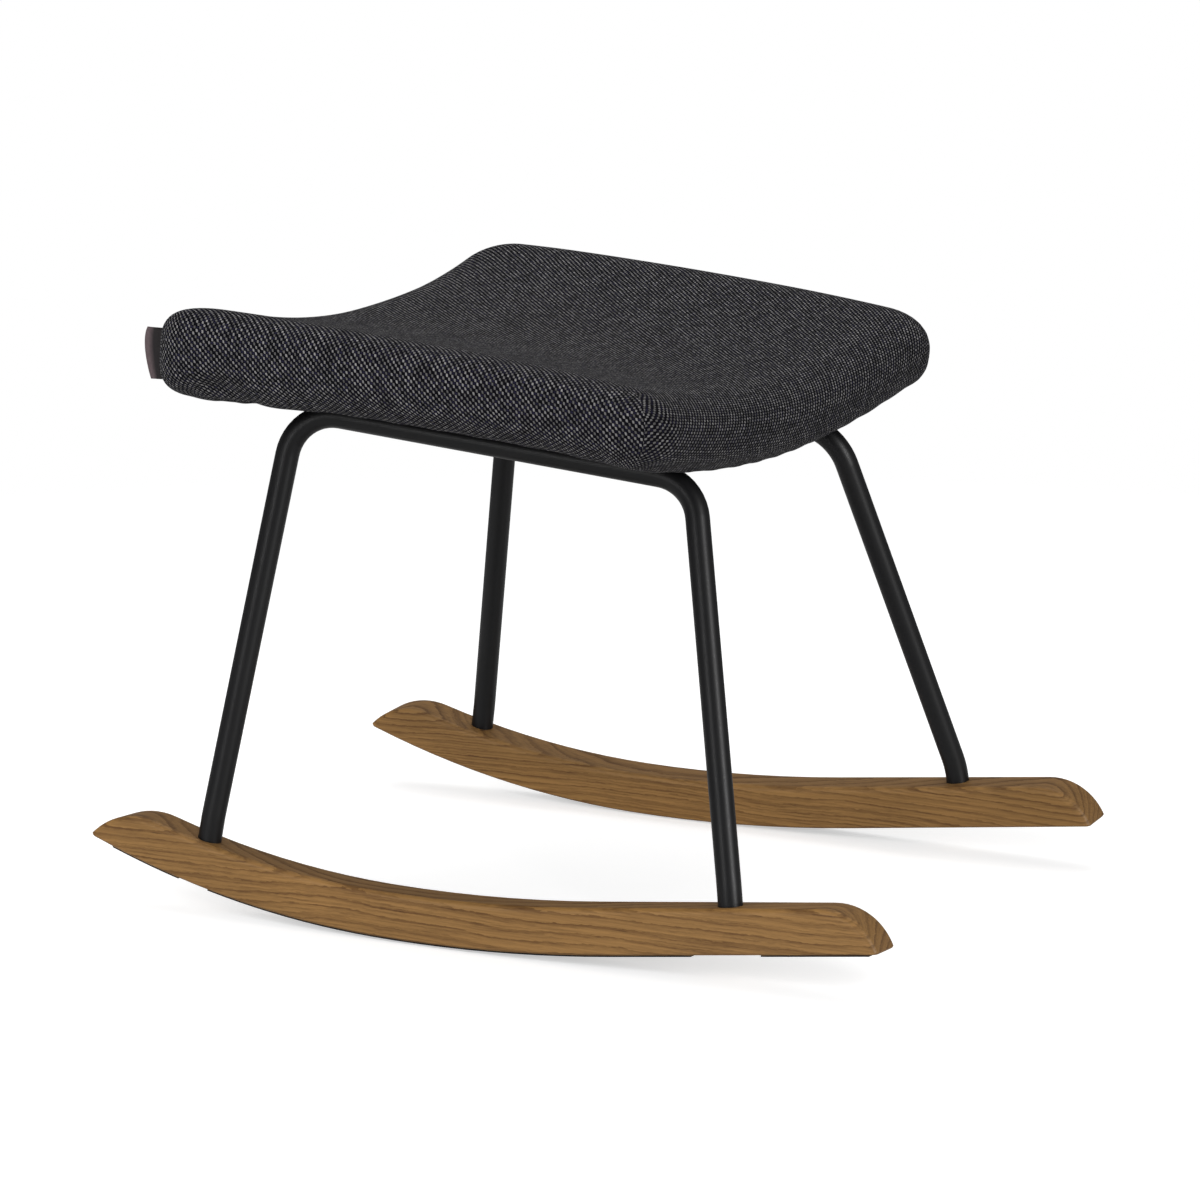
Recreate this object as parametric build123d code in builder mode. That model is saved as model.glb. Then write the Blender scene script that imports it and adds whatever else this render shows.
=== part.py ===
from build123d import *
from math import asin, atan, cos, degrees, radians, sin, sqrt, tan
import os

# Rocking footstool: two curved wooden rockers, two bent tube side frames and an upholstered seat.
# Millimetres. X runs along the rockers, Y across them, Z up; the floor is Z = 0 and the origin is
# below the middle of the rockers. "near" is the -Y side, "left" is the -X end.

# ---- rockers: solid wood, cut from board, with three anti-slip strips under each
rocker_length = 579.0
rocker_width = 31.0
rocker_spacing = 383.6            # centre to centre across the stool, at the floor
rocker_lean = 4.0                 # degrees, tops towards the middle
rocker_toe = 0.5                  # degrees, right ends towards the middle
sole_x = -33.2                    # lowest point of the running edge
sole_radius_left = 696.0          # running edge, measured at the face of the strips
sole_radius_middle = 1104.0
sole_left_join_x = -69.4          # where the left arc meets the middle arc
sole_right_join_x = 103.8         # from here to the right tip the edge runs straight
rocker_depth = 30.2               # height of the wood over the lowest point of its top edge
back_x = -36.7                    # lowest point of the top edge
back_radius_left = 669.0
back_radius_middle = 1073.0
back_left_join_x = -69.4
back_right_join_x = 85.3
nose_length_left = 51.5           # the top edge turns down to the tip over this length
nose_length_right = 41.0
rocker_top_round = 4.2
rocker_bottom_round = 1.2

strip_thickness = 1.3
strip_width = 20.0
strip_out = 3.0                   # strips' middle, outwards from the rocker's middle
strip_spans = {"left": (-272.0, -220.0), "middle": (-196.8, 161.0), "right": (209.5, 283.0)}

# ---- side frames: one bent steel tube on each side
tube_diameter = 16.0
tube_wall = 1.5
foot_left_x = -202.1              # leg centre line at the rocker's top face
foot_right_x = 182.6
foot_out = 2.3                    # and outwards from the rocker's middle
foot_lean_left = 0.16             # sideways run of the foot per unit of height, towards +X
foot_lean_right = -0.11
knee_height_left = 16.0           # knee above the rocker's top face
knee_height_right = 10.0
knee_radius = 60.0
shoulder_left = (-153.7, 152.4, 340.1)    # corner of leg and top bar: X, distance from the middle, Z
shoulder_right = (119.1, 112.0, 306.1)
shoulder_radius = 33.0
leg_socket_depth = 18.0           # length of leg let into the rocker
leg_socket_clearance = 0.15

# ---- seat: bent plywood, foam, woven cover
seat_center = (-37.3, 0.0, 348.3)  # middle of the padding
seat_tilt = 4.03                  # degrees, left end up
seat_length = 373.4
seat_width = 471.4
seat_corner_radius = 46.0
pad_top = (26.6, 28.3, 19.7)      # top on the middle line at the left end, middle and right end
pad_bottom = (-35.0, -28.3, -31.9)
rim_rise = (33.7, 29.8, 25.9)     # how much higher the two long edges stand than the middle line
edge_round = 24.0
cover_thickness = 1.2
cover_slack = 0.3                 # free space between the cover and the foam
shell_thickness = 8.0             # plywood
shell_radius = 930.0              # curve of the plywood's underside across the stool
shell_margin = 20.0               # from the cover's outside to the plywood's edge
shell_corner_radius = 34.0
hem_margin = 30.0                 # from the cover's outside to the start of its turned-in hem
hem_width = 30.0
dust_cover_thickness = 0.6
dust_cover_margin = 44.0          # from the cover's outside to the dust cover's edge
layer_gap = 0.05                  # between layers that lie on each other
seat_gap = 0.3                    # between the dust cover and the tubes under it

# ---- straps across the frame, and the bolts that hold the seat to them
strap_width = 30.0
strap_thickness = 4.0
strap_left_x = -105.0
strap_right_x = 50.0
weld_gap = 0.1                    # between a strap's cut end and the tube
bolt_spacing_y = 150.0
bolt_diameter = 6.0
bolt_clearance = 0.3
head_diameter = 10.5
head_height = 3.3
head_round = 1.1
hex_socket = 4.0
hex_socket_depth = 2.0
washer_diameter = 14.0
washer_thickness = 1.2
tnut_flange_diameter = 19.0
tnut_flange_thickness = 1.2
tnut_barrel_diameter = 8.0
tnut_barrel_length = 7.0
seat_bolt_length = 16.0

# ---- leg inserts and the bolts that hold the rockers to the legs
insert_length = 16.0
insert_clearance = 0.05
rocker_bolt_length = 20.0
counterbore_diameter = 15.0
counterbore_floor = 8.0           # wood left between the leg socket and the counterbore

# ---- staples
staple_crown = 10.0
staple_wire = 0.9
staple_leg = 5.0
cover_staple_pitch = 34.0
dust_staple_pitch = 62.0
staple_edge = 6.0                 # from a fabric edge to the staples along it

# ---- bare woven tab at the seat's left end
tab_height = 32.5
tab_reach = 13.5
tab_thickness = 1.6
tab_inset = 29.7                  # from the seat's near side
tab_z_offset = -4.0

tube_radius = tube_diameter / 2
tube_bore = tube_diameter - 2 * tube_wall
os.makedirs("parts", exist_ok=True)


def save(node, name, color):
    """Labels a finished piece and writes it to parts/."""
    node.part.label = name
    node.part.color = Color(color)
    export_step(node.part, f"parts/{name}.step")


# ------------------------------------------------------------------ rockers

def edge_height(x, low_x, low_z, left_join, right_join, left_radius, middle_radius):
    """Height at x of an edge made of a left arc, a middle arc and a straight right end."""
    def middle(at):
        return low_z + middle_radius - sqrt(middle_radius**2 - (at - low_x) ** 2)

    if x < left_join:
        lean = asin((left_join - low_x) / middle_radius)
        center_x = left_join - left_radius * sin(lean)
        center_z = middle(left_join) + left_radius * cos(lean)
        return center_z - sqrt(left_radius**2 - (x - center_x) ** 2)
    if x > right_join:
        return middle(right_join) + (x - right_join) * tan(asin((right_join - low_x) / middle_radius))
    return middle(x)


def sole_height(x, lift=0.0):
    """Running edge; lift moves it up into the wood, square to the edge."""
    turn = middle_turn(sole_left_join_x, sole_x, sole_radius_middle)
    end_turn = middle_turn(sole_right_join_x, sole_x, sole_radius_middle)
    return edge_height(x, sole_x, lift, sole_left_join_x - lift * turn, sole_right_join_x - lift * end_turn,
                       sole_radius_left - lift, sole_radius_middle - lift)


def middle_turn(x, low_x, radius):
    """Sine of the edge's slope angle at x on its middle arc."""
    return (x - low_x) / radius


def back_height(x):
    """Top edge of the rocker."""
    return edge_height(x, back_x, strip_thickness + rocker_depth, back_left_join_x, back_right_join_x,
                       back_radius_left, back_radius_middle)


def arc_points(height, start, stop):
    """Start, middle and end of one arc of an edge, as points of the XZ plane."""
    return [(x, height(x)) for x in (start, (start + stop) / 2, stop)]


def wood_sole(x):
    return sole_height(x, strip_thickness)


def foot_axis(name, side_sign):
    """Plane at a leg's foot on a rocker still on the middle line: origin on the top face, Z up along the leg."""
    foot_x, lean = {"left": (foot_left_x, foot_lean_left), "right": (foot_right_x, foot_lean_right)}[name]
    return Plane(origin=(foot_x, side_sign * foot_out, back_height(foot_x)), x_dir=(1, 0, -lean),
                 z_dir=(lean, 0, 1))


tip_left = -rocker_length / 2
tip_right = rocker_length / 2
wood_left_join = sole_left_join_x - strip_thickness * middle_turn(sole_left_join_x, sole_x, sole_radius_middle)
wood_right_join = sole_right_join_x - strip_thickness * middle_turn(sole_right_join_x, sole_x,
                                                                    sole_radius_middle)


sides = {"near": -1, "far": 1}
foot_names = ("left", "right")


def rocker_place(side_sign):
    """Where a rocker made on the middle line goes: out to its side, leaning in, on its strips' inner edges."""
    inner_edge = strip_width / 2 - strip_out
    out_to_side = Location((0, side_sign * rocker_spacing / 2, inner_edge * sin(radians(rocker_lean))),
                           (0, 0, -side_sign * rocker_toe))
    return out_to_side * Location((0, 0, 0), (side_sign * rocker_lean, 0, 0))


def leg_foot(name, side_sign):
    """Plane of one leg's foot on its placed rocker."""
    return Plane(rocker_place(side_sign) * foot_axis(name, side_sign).location)


def placed(piece, side_sign):
    """A piece made on the middle line, put at one side."""
    with BuildPart() as there:
        with Locations(rocker_place(side_sign)):
            add(piece.part)
    return there


def make_rocker(side_sign):
    """A rocker still on the middle line, with its leg sockets, bolt holes and counterbores."""
    nose_left = (tip_left + nose_length_left, back_height(tip_left + nose_length_left))
    nose_right = (tip_right - nose_length_right, back_height(tip_right - nose_length_right))
    with BuildPart() as rocker:
        with BuildSketch(Plane.XZ):
            with BuildLine():
                ThreePointArc(*arc_points(wood_sole, tip_left, wood_left_join))
                ThreePointArc(*arc_points(wood_sole, wood_left_join, wood_right_join))
                Line((wood_right_join, wood_sole(wood_right_join)), (tip_right, wood_sole(tip_right)))
                back_end = Line(nose_right, (back_right_join_x, back_height(back_right_join_x)))
                TangentArc(nose_right, (tip_right, wood_sole(tip_right)), tangent=back_end % 0 * -1)
                ThreePointArc(*arc_points(back_height, back_right_join_x, back_left_join_x))
                back_start = ThreePointArc(*arc_points(back_height, back_left_join_x, nose_left[0]))
                TangentArc(nose_left, (tip_left, wood_sole(tip_left)), tangent=back_start % 1)
            make_face()
        extrude(amount=rocker_width / 2, both=True)
        upper_edges = rocker.faces().filter_by(Axis.Y).edges().filter_by(
            lambda e: e.center().Z > wood_sole(e.center().X) + strip_thickness)
        fillet(upper_edges, rocker_top_round)
        lower_edges = rocker.faces().filter_by(Axis.Y).edges().filter_by(
            lambda e: e.center().Z <= wood_sole(e.center().X) + strip_thickness)
        chamfer(lower_edges, rocker_bottom_round)
        for socket in (foot_axis(name, side_sign) for name in foot_names):
            with BuildSketch(socket.offset(-leg_socket_depth)):
                Circle(tube_radius + leg_socket_clearance)
            extrude(amount=leg_socket_depth + tube_diameter, mode=Mode.SUBTRACT)
            with BuildSketch(socket):
                Circle((bolt_diameter + bolt_clearance) / 2)
            extrude(amount=-rocker_depth * 2, mode=Mode.SUBTRACT)
            with BuildSketch(socket.offset(-leg_socket_depth - counterbore_floor)):
                Circle(counterbore_diameter / 2)
            extrude(amount=-rocker_depth, mode=Mode.SUBTRACT)
    return rocker


def make_strip(span, side_sign):
    """An anti-slip strip for a rocker on the middle line, bent to the running edge between two X positions."""
    stations = [span[0]] + [x for x in (sole_left_join_x, sole_right_join_x) if span[0] < x < span[1]]
    stations.append(span[1])
    with BuildPart() as strip:
        with BuildSketch(Plane.XZ.offset(-side_sign * strip_out)):
            with BuildLine():
                lower = [edge_run(sole_height, a, b) for a, b in zip(stations, stations[1:])]
                upper = [edge_run(wood_sole, a, b) for a, b in zip(stations, stations[1:])]
                Line(lower[0] @ 0, upper[0] @ 0)
                Line(lower[-1] @ 1, upper[-1] @ 1)
            make_face()
        extrude(amount=strip_width / 2, both=True)
    return strip


def edge_run(height, start, stop):
    """One stretch of the running edge: an arc, or a line on its straight right end."""
    if start >= sole_right_join_x:
        return Line((start, height(start)), (stop, height(stop)))
    return ThreePointArc(*arc_points(height, start, stop))


for side, sign in sides.items():
    save(placed(make_rocker(sign), sign), f"rocker_{side}", "burlywood")
    for place, span in strip_spans.items():
        save(placed(make_strip(span, sign), sign), f"glide_strip_{side}_{place}", "black")


# ------------------------------------------------------------------ side frames

def mirrored(point, side_sign):
    """A point given as X, distance from the middle, Z, on the near or far side."""
    return Vector(point[0], side_sign * point[1], point[2])


def tube_path_points(side_sign):
    """Corners of a side frame's centre line, from the left leg's end to the right leg's end."""
    points = []
    for name, knee_height, shoulder in (("left", knee_height_left, shoulder_left),
                                        ("right", knee_height_right, shoulder_right)):
        foot = leg_foot(name, side_sign)
        end = foot.origin - foot.z_dir * leg_socket_depth
        knee = foot.origin + foot.z_dir * (knee_height / foot.z_dir.Z)
        leg = [end, knee, mirrored(shoulder, side_sign)]
        points += leg if not points else leg[::-1]
    return points


def make_side_frame(side_sign):
    """One bent tube: leg, top bar and leg, open at both ends."""
    points = tube_path_points(side_sign)
    with BuildPart() as frame:
        with BuildLine() as path:
            FilletPolyline(*points, radius=[knee_radius, shoulder_radius, shoulder_radius, knee_radius])
        start = Plane(origin=path.line @ 0, z_dir=path.line % 0)
        with BuildSketch(start):
            Circle(tube_radius)
        sweep(path=path.line)
        with BuildSketch(start):
            Circle(tube_bore / 2)
        sweep(path=path.line, mode=Mode.SUBTRACT)
    return frame


def make_leg_inserts():
    """Threaded steel plugs, one pressed into each leg's end, drawn at the thread's outer diameter."""
    with BuildPart() as inserts:
        for foot in leg_feet:
            with BuildSketch(foot.offset(-leg_socket_depth)):
                Circle(tube_bore / 2 - insert_clearance)
                Circle(bolt_diameter / 2 + insert_clearance, mode=Mode.SUBTRACT)
            extrude(amount=insert_length)
    return inserts


def bolt(seat_plane, length):
    """Pan-head bolt with a hex socket: the plane is its bearing face, Z along the shank."""
    with BuildPart() as one:
        with BuildSketch(seat_plane):
            Circle(head_diameter / 2)
        extrude(amount=-head_height)
        with BuildSketch(seat_plane):
            Circle(bolt_diameter / 2)
        extrude(amount=length)
        with BuildSketch(seat_plane.offset(-head_height)):
            RegularPolygon(hex_socket / 2, 6, major_radius=False)
        extrude(amount=hex_socket_depth, mode=Mode.SUBTRACT)
        rim = one.edges().filter_by(GeomType.CIRCLE).sort_by(Axis(seat_plane.origin, seat_plane.z_dir))
        fillet(rim[0], head_round)
    return one.part


def washer(plane):
    """Flat washer standing on a plane."""
    with BuildPart() as one:
        with BuildSketch(plane):
            Circle(washer_diameter / 2)
            Circle((bolt_diameter + bolt_clearance) / 2, mode=Mode.SUBTRACT)
        extrude(amount=washer_thickness)
    return one.part


def group(solids):
    """Several separate solids kept as one part."""
    with BuildPart() as several:
        add(list(solids))
    return several


leg_feet = [leg_foot(name, sign) for sign in sides.values() for name in foot_names]
counterbores = [foot.offset(-leg_socket_depth - counterbore_floor) for foot in leg_feet]
frames = {side: make_side_frame(sign) for side, sign in sides.items()}
for side, frame in frames.items():
    save(frame, f"side_frame_{side}", "gray20")
save(make_leg_inserts(), "leg_inserts", "silver")
save(group(washer(floor.offset(-washer_thickness)) for floor in counterbores), "rocker_washers", "silver")
save(group(bolt(floor.offset(-washer_thickness), rocker_bolt_length) for floor in counterbores),
     "rocker_bolts", "silver")


# ------------------------------------------------------------------ seat

def tilted_plane(origin, degrees_down):
    """Plane whose X runs along the stool, going down to the right by this angle."""
    slope = radians(degrees_down)
    return Plane(origin=origin, x_dir=(cos(slope), 0, -sin(slope)), z_dir=(sin(slope), 0, cos(slope)))


seat_plane = tilted_plane(seat_center, seat_tilt)

# The plywood's underside stands over both top bars, with the cover's hem and the dust cover between.
tube_distance = shell_radius + cover_thickness + dust_cover_thickness + 2 * layer_gap + seat_gap + tube_radius
shell_left_z, shell_right_z = (z + sqrt(tube_distance**2 - y**2) - shell_radius
                               for x, y, z in (shoulder_left, shoulder_right))
shell_slope = (shell_left_z - shell_right_z) / (shoulder_right[0] - shoulder_left[0])
shell_center_z = shell_left_z - shell_slope * (seat_center[0] - shoulder_left[0])
shell_plane = tilted_plane((seat_center[0], 0, shell_center_z), degrees(atan(shell_slope)))


def along(values, s):
    """Smooth curve through three values, at the left end, the middle and the right end of the seat."""
    left, middle, right = values
    t = 2 * s / seat_length
    return middle + t * (right - left) / 2 + t**2 * ((right + left) / 2 - middle)


def trough_arc(low, radius, reach):
    """Arc across the stool, lowest on the middle line."""
    end = low + radius - sqrt(radius**2 - reach**2)
    return ThreePointArc((-reach, end), (0, low), (reach, end))


def close_and_face(upper, lower):
    """Joins the ends of two arcs and fills the outline."""
    Line(upper @ 0, lower @ 0)
    Line(upper @ 1, lower @ 1)


def make_pad(inset):
    """Outer shape of the padding, moved in all round by a distance."""
    half_width = seat_width / 2
    reach = half_width + edge_round
    with BuildPart() as pad:
        for s in (-seat_length / 2 - edge_round, 0, seat_length / 2 + edge_round):
            rise = along(rim_rise, s)
            radius = (half_width**2 + rise**2) / (2 * rise)
            station = Plane(origin=seat_plane.origin + seat_plane.x_dir * s,
                            x_dir=(0, 1, 0), z_dir=seat_plane.x_dir)
            with BuildSketch(station):
                with BuildLine():
                    close_and_face(trough_arc(along(pad_top, s) - inset, radius + inset, reach),
                                   trough_arc(along(pad_bottom, s) + inset, radius - inset, reach))
                make_face()
        loft()
        with BuildSketch(seat_plane):
            RectangleRounded(seat_length - 2 * inset, seat_width - 2 * inset, seat_corner_radius - inset)
        extrude(amount=seat_width, both=True, mode=Mode.INTERSECT)
        broad_faces = pad.faces().sort_by(SortBy.AREA)[-2:]
        fillet(broad_faces.edges(), edge_round - inset)
    return pad.part


def make_layer(lower, upper, margin, corner_radius):
    """Curved layer under the plywood: depths below its underside, margin in from the cover's outside."""
    reach = seat_width / 2
    station = Plane(origin=shell_plane.origin - shell_plane.x_dir * seat_length, x_dir=(0, 1, 0),
                    z_dir=shell_plane.x_dir)
    with BuildPart() as layer:
        with BuildSketch(station):
            with BuildLine():
                close_and_face(trough_arc(-upper, shell_radius + upper, reach),
                               trough_arc(-lower, shell_radius + lower, reach))
            make_face()
        extrude(amount=2 * seat_length)
        with BuildSketch(seat_plane):
            RectangleRounded(seat_length - 2 * margin, seat_width - 2 * margin, corner_radius)
        extrude(amount=seat_width, both=True, mode=Mode.INTERSECT)
    return layer.part


# Bolt lines from the straps up into the plywood, and the straps themselves.
strap_reach = shell_radius + cover_thickness + dust_cover_thickness + 2 * layer_gap + seat_gap
stack = strap_reach - shell_radius + strap_thickness + washer_thickness


def under_shell(x, y, depth):
    """Plane on the layer at this depth under the plywood, Z pointing up into it."""
    s = (x - shell_plane.origin.X) / shell_plane.x_dir.X
    center = shell_plane.origin + shell_plane.x_dir * s + shell_plane.z_dir * shell_radius
    up = shell_plane.z_dir * sqrt((shell_radius + depth) ** 2 - y**2) - Vector(0, y, 0)
    return Plane(origin=center - up, x_dir=shell_plane.x_dir, z_dir=up)


bolt_seats = [under_shell(x, sign * bolt_spacing_y / 2, stack)
              for x in (strap_left_x, strap_right_x) for sign in sides.values()]


def make_strap(x):
    """Flat steel strap between the two top bars, bent to the underside of the seat."""
    s = (x - shell_plane.origin.X) / shell_plane.x_dir.X
    middle = Plane(origin=shell_plane.origin + shell_plane.x_dir * s, x_dir=(0, 1, 0), z_dir=shell_plane.x_dir)
    with BuildPart() as strap:
        with BuildSketch(middle):
            with BuildLine():
                close_and_face(trough_arc(shell_radius - strap_reach, strap_reach, shoulder_left[1]),
                               trough_arc(shell_radius - strap_reach - strap_thickness,
                                          strap_reach + strap_thickness, shoulder_left[1]))
            make_face()
        extrude(amount=strap_width / 2, both=True)
        for side_sign in sides.values():
            points = tube_path_points(side_sign)
            with BuildSketch(Plane(origin=points[2], z_dir=points[3] - points[2])):
                Circle(tube_radius + weld_gap)
            extrude(amount=(points[3] - points[2]).length, mode=Mode.SUBTRACT)
        waste = strap.solids().sort_by(SortBy.VOLUME)[:-1]
        for piece in waste:
            add(piece, mode=Mode.SUBTRACT)
        add(rods(bolt_seats, bolt_diameter + bolt_clearance, stack), mode=Mode.SUBTRACT)
    return strap


def rods(planes, diameter, length):
    """Separate round bars standing on some planes."""
    with BuildPart() as bars:
        with BuildSketch(*planes):
            Circle(diameter / 2)
        extrude(amount=length)
    return bars.part


def make_staples(planes):
    """Staples of flat wire: crowns on the planes, legs up along Z."""
    with BuildPart() as staples:
        with BuildSketch(*[plane.offset(-staple_wire) for plane in planes]):
            Rectangle(staple_wire, staple_crown)
        extrude(amount=staple_wire + staple_leg)
        with BuildSketch(*planes):
            Rectangle(staple_wire * 2, staple_crown - 2 * staple_wire)
        extrude(amount=staple_leg, mode=Mode.SUBTRACT)
    return staples


def staple_ring(margin, pitch, depth):
    """Places of the staples on a rounded rectangle under the seat, Y along its outline."""
    half_x = (seat_length * cos(radians(seat_tilt)) - 2 * margin) / 2
    half_y = (seat_width - 2 * margin) / 2
    straight_x = half_x - edge_round
    straight_y = half_y - edge_round
    planes = []
    for end in (-1, 1):
        count = int(2 * straight_x / pitch)
        for k in range(count + 1):
            x = seat_center[0] - straight_x + 2 * straight_x * k / count
            planes.append(under_shell(x, end * half_y, depth).rotated((0, 0, 90)))
        count = int(2 * straight_y / pitch)
        for k in range(count + 1):
            y = -straight_y + 2 * straight_y * k / count
            planes.append(under_shell(seat_center[0] + end * half_x, y, depth))
    return planes


shell_top = [seat.offset(stack + shell_thickness + layer_gap) for seat in bolt_seats]
hem_face = cover_thickness + layer_gap
dust_face = hem_face + layer_gap + dust_cover_thickness
cover_staples = make_staples(staple_ring(hem_margin + staple_edge, cover_staple_pitch, hem_face))
dust_staples = make_staples(staple_ring(dust_cover_margin + staple_edge, dust_staple_pitch, dust_face))

with BuildPart() as t_nuts:
    add(rods(shell_top, tnut_flange_diameter, tnut_flange_thickness))
    add(rods(shell_top, tnut_barrel_diameter, -tnut_barrel_length))
    add(rods(bolt_seats, bolt_diameter + 2 * layer_gap, stack + 2 * shell_thickness), mode=Mode.SUBTRACT)

with BuildPart() as shell:
    add(make_layer(0, -shell_thickness, shell_margin, shell_corner_radius))
    add(rods(bolt_seats, bolt_diameter + bolt_clearance, stack + 2 * shell_thickness), mode=Mode.SUBTRACT)
    add(rods(shell_top, tnut_barrel_diameter + 2 * layer_gap, -tnut_barrel_length - layer_gap),
        mode=Mode.SUBTRACT)
    add([cover_staples.part, dust_staples.part], mode=Mode.SUBTRACT)

with BuildPart() as foam:
    add(make_pad(cover_thickness + cover_slack))
    add(make_layer(0, -shell_thickness - cover_slack, shell_margin - cover_slack, shell_corner_radius),
        mode=Mode.SUBTRACT)
    add(make_layer(seat_width, 0, hem_margin - cover_thickness - cover_slack, edge_round), mode=Mode.SUBTRACT)
    add(rods(shell_top, tnut_flange_diameter + 2 * cover_slack, tnut_flange_thickness + cover_slack),
        mode=Mode.SUBTRACT)

# The cover is a skin round the foam: it turns up into the opening below and ends in a flat hem.
with BuildPart() as cover_core:
    add(make_pad(cover_thickness))
    add(make_layer(seat_width, layer_gap, hem_margin - cover_thickness, edge_round), mode=Mode.SUBTRACT)
with BuildPart() as cover:
    add(make_pad(0))
    add(make_layer(seat_width, hem_face, hem_margin, edge_round), mode=Mode.SUBTRACT)
    add(cover_core.part, mode=Mode.SUBTRACT)
    add(make_layer(seat_width, 0, hem_margin + hem_width, edge_round), mode=Mode.SUBTRACT)
    add([cover_staples.part, dust_staples.part], mode=Mode.SUBTRACT)

with BuildPart() as dust_cover:
    add(make_layer(dust_face, hem_face + layer_gap, dust_cover_margin, edge_round))
    add(rods(bolt_seats, bolt_diameter + bolt_clearance, stack), mode=Mode.SUBTRACT)
    add([cover_staples.part, dust_staples.part], mode=Mode.SUBTRACT)

# The tab is a folded ribbon that stands out of the left end of the cover, near the near corner.
tab_y = tab_inset - seat_width / 2
tab_middle = (pad_top[0] + pad_bottom[0]) / 2 + rim_rise[0] * (2 * tab_y / seat_width) ** 2 + tab_z_offset
tab_root = seat_plane.origin - seat_plane.x_dir * (seat_length / 2) + Vector(0, tab_y, 0)
with BuildPart() as tab:
    with BuildSketch(Plane(origin=tab_root + seat_plane.z_dir * (tab_middle - tab_height / 2),
                           x_dir=seat_plane.x_dir, z_dir=seat_plane.z_dir)):
        SlotCenterToCenter(2 * tab_reach - tab_thickness, tab_thickness)
    extrude(amount=tab_height)
    add(make_pad(-layer_gap), mode=Mode.SUBTRACT)
    for piece in tab.solids().sort_by(Axis.X)[1:]:
        add(piece, mode=Mode.SUBTRACT)

for place, x in (("left", strap_left_x), ("right", strap_right_x)):
    save(make_strap(x), f"seat_strap_{place}", "gray20")
save(group(washer(seat) for seat in bolt_seats), "seat_washers", "silver")
save(group(bolt(seat, seat_bolt_length) for seat in bolt_seats), "seat_bolts", "silver")
save(t_nuts, "t_nuts", "silver")
save(shell, "seat_shell", "burlywood")
save(foam, "seat_foam", "khaki")
save(cover, "seat_cover", "gray25")
save(dust_cover, "dust_cover", "black")
save(cover_staples, "cover_staples", "silver")
save(dust_staples, "dust_staples", "silver")
save(tab, "label_tab", "thistle4")
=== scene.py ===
import math
import bmesh
import bpy
import numpy as np
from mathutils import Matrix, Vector, noise


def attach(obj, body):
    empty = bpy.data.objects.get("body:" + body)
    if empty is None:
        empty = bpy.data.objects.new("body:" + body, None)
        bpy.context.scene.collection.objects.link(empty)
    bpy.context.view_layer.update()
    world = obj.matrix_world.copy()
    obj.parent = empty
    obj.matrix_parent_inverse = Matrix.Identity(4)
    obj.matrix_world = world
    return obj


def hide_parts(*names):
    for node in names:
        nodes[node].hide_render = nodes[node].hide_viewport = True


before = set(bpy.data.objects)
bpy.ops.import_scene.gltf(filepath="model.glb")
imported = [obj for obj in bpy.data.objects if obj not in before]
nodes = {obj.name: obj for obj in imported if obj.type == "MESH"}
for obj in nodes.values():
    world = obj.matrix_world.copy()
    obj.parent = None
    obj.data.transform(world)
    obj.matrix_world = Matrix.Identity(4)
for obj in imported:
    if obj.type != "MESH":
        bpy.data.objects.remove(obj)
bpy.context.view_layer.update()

# Rocking footstool: woven seat, black tube frames, oiled hardwood rockers.
# Metres. X runs along the rockers, -Y is the near side, Z is up and the floor is Z = 0.
scene = bpy.context.scene
millimetre = 0.001


# camera, light and floor

cameraPlan = {"place": (1.3282, -2.6325, 0.7827), "azimuth": 26.8743, "elevation": 11.2206,
              "lens": 132.05, "sensor": 36.0, "clip": (0.05, 100.0)}
worldPlan = {"ambient": 0.42, "mirrored": 0.2, "backdrop": 1.0}
lampTarget = (0.0, 0.0, 0.22)
lampPlan = {
    "frontRight": {"place": (1.9, -2.3, 1.5), "size": (1.3, 1.3), "power": 42.0, "glint": False},
    "frontLeft": {"place": (-1.6, -2.2, 1.2), "size": (1.6, 1.6), "power": 34.0, "glint": False},
    "overhead": {"place": (-0.3, 0.6, 2.4), "size": (2.0, 2.0), "power": 22.0, "glint": True},
    # these two are seen in gloss only
    "rightStrip": {"place": (2.48, -0.78, 0.85), "size": (0.45, 1.6), "power": 70.0,
                   "glint": True, "only": True},
    "leftStrip": {"place": (-0.42, -2.49, 0.85), "size": (0.35, 1.6), "power": 20.0,
                  "glint": True, "only": True},
}
floorPlan = {"half": 3.0, "albedo": 0.80, "glow": 0.5, "fadeStart": 0.75, "fadeEnd": 1.7, "drop": 0.0003}


def addCamera():
    data = bpy.data.cameras.new("camera")
    data.sensor_width, data.lens = cameraPlan["sensor"], cameraPlan["lens"]
    data.clip_start, data.clip_end = cameraPlan["clip"]
    camera = bpy.data.objects.new("camera", data)
    scene.collection.objects.link(camera)
    around, above = math.radians(cameraPlan["azimuth"]), math.radians(cameraPlan["elevation"])
    back = Vector((math.sin(around) * math.cos(above), -math.cos(around) * math.cos(above), math.sin(above)))
    camera.location = cameraPlan["place"]
    camera.rotation_mode = "QUATERNION"
    camera.rotation_quaternion = (-back).to_track_quat("-Z", "Y")
    scene.camera = camera


def addLamps():
    target = Vector(lampTarget)
    for name, plan in lampPlan.items():
        data = bpy.data.lights.new(name, "AREA")
        data.shape, data.energy = "RECTANGLE", plan["power"]
        data.size, data.size_y = plan["size"]
        lamp = bpy.data.objects.new(name, data)
        lamp.visible_glossy, lamp.visible_diffuse = plan["glint"], not plan.get("only")
        lamp.location = plan["place"]
        lamp.rotation_mode = "QUATERNION"
        lamp.rotation_quaternion = (target - lamp.location).to_track_quat("-Z", "Y")
        scene.collection.objects.link(lamp)


# shader helpers

def addNode(tree, kind, **settings):
    node = tree.nodes.new(kind)
    for key, value in settings.items():
        setattr(node, key, value)
    return node


def feed(tree, socket, value):
    if isinstance(value, bpy.types.NodeSocket):
        tree.links.new(value, socket)
    else:
        socket.default_value = value


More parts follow.
